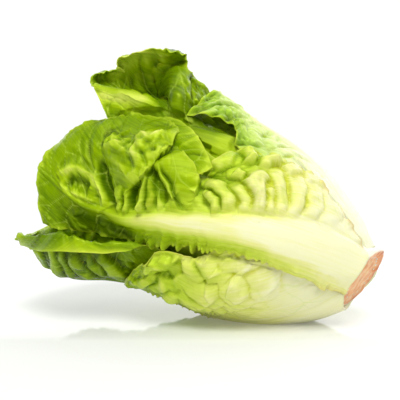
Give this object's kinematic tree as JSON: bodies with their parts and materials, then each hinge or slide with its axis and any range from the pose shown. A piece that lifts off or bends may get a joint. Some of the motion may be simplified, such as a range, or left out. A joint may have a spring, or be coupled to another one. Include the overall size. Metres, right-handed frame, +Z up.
{
  "type": "romaine lettuce head",
  "caption": "Whole romaine lettuce head lying on its side: pale cut stem, fleshy midribs, blistered wrapping leaves and green flaring leaf tips round a yellow heart.",
  "frame": {"origin": "under the middle of the lying head's bounding box, on the surface it rests on", "axes": "+Z up; +X towards the cut stem along the head's longest side; the front leaf with its midrib faces -Y"},
  "size_m": [0.1672, 0.1054, 0.1205],
  "materials": {
    "stem": "moist cut plant flesh, browned at the cut",
    "outer_leaf": "waxy satin green leaf, pale at the midrib",
    "heart_leaf": "waxy satin yellow-green leaf"
  },
  "bodies": {
    "root": {"stem": "stem", "front_outer_leaf": "outer_leaf", "folded_inner_leaf": "outer_leaf", "top_outer_leaf": "outer_leaf", "upper_outer_leaf": "outer_leaf", "lower_outer_leaf": "outer_leaf", "low_tip_leaf": "outer_leaf", "back_outer_leaf": "outer_leaf", "shoulder_leaf": "outer_leaf", "cheek_leaf": "outer_leaf", "hip_leaf": "outer_leaf", "heart_leaf_01": "heart_leaf", "heart_leaf_02": "heart_leaf", "heart_leaf_03": "heart_leaf", "heart_leaf_04": "heart_leaf", "heart_leaf_05": "heart_leaf", "heart_leaf_06": "heart_leaf", "heart_leaf_07": "heart_leaf", "heart_leaf_08": "heart_leaf", "heart_leaf_09": "heart_leaf", "heart_leaf_10": "heart_leaf", "heart_leaf_11": "heart_leaf", "heart_leaf_12": "heart_leaf"}
  },
  "joints": []
}
